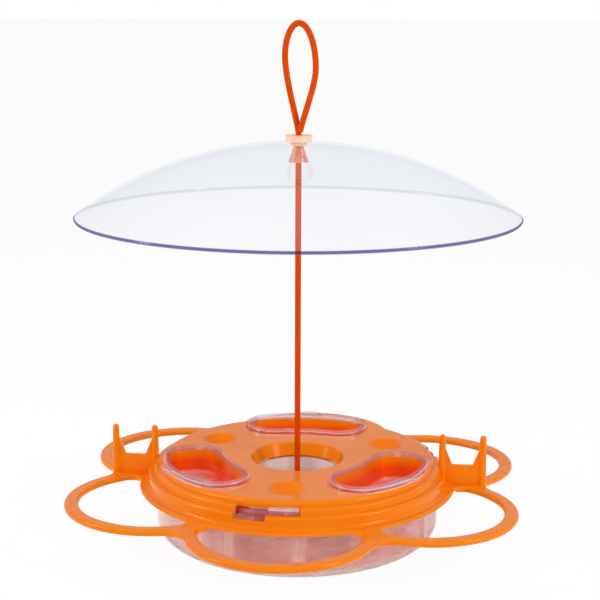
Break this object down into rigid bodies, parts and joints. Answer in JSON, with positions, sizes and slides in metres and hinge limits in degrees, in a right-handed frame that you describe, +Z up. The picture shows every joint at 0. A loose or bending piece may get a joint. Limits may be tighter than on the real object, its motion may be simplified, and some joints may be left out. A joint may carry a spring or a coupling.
{
  "type": "oriole feeder",
  "caption": "Hanging bird feeder: nectar bowl under a twist-off cover with perch loops, jelly cups, orange forks, a wire rod and a sliding clear weather dome.",
  "frame": {"origin": "on the rod's axis, at the face that the bowl's foot ring stands on", "axes": "+Z up the rod to the hanging loop; the two orange forks lie on the X axis, and the front bayonet window and one feeding port face -Y"},
  "size_m": [0.3066, 0.3348, 0.3573],
  "materials": {
    "clear_bowl": "clear moulded plastic, polished",
    "insert_brass": "turned, satin",
    "orange_plastic": "bright orange moulded plastic, glossy",
    "clear_cup": "clear moulded plastic, polished",
    "rod_coating": "orange plastic coating, glossy",
    "clear_dome": "clear formed sheet, polished",
    "collar_plastic": "pale peach moulded plastic, satin",
    "stop_plastic": "translucent peach moulded plastic, satin"
  },
  "bodies": {
    "root": {"nectar_bowl": "clear_bowl", "bowl_floor": "clear_bowl", "ant_moat": "clear_bowl", "threaded_insert": "insert_brass", "hanger_rod": "rod_coating"},
    "cover": {"feeding_cover": "orange_plastic", "jelly_cup_1": "clear_cup", "jelly_cup_2": "clear_cup", "jelly_cup_3": "clear_cup"},
    "stop": {"cone_stop": "stop_plastic"},
    "dome": {"weather_dome": "clear_dome", "dome_collar": "collar_plastic"}
  },
  "joints": [
    {"name": "cover_twist", "type": "hinge", "parent": "root", "child": "cover", "pos_m": [0, 0, 0.05], "axis": [0, 0, 1], "range_deg": [0, 12.5]},
    {"name": "dome_height", "type": "slide", "parent": "root", "child": "stop", "axis": [0, 0, 1], "range_m": [-0.14, 0]},
    {"name": "dome_spin", "type": "hinge", "parent": "stop", "child": "dome", "pos_m": [0, 0, 0.27], "axis": [0, 0, 1], "continuous": true}
  ]
}
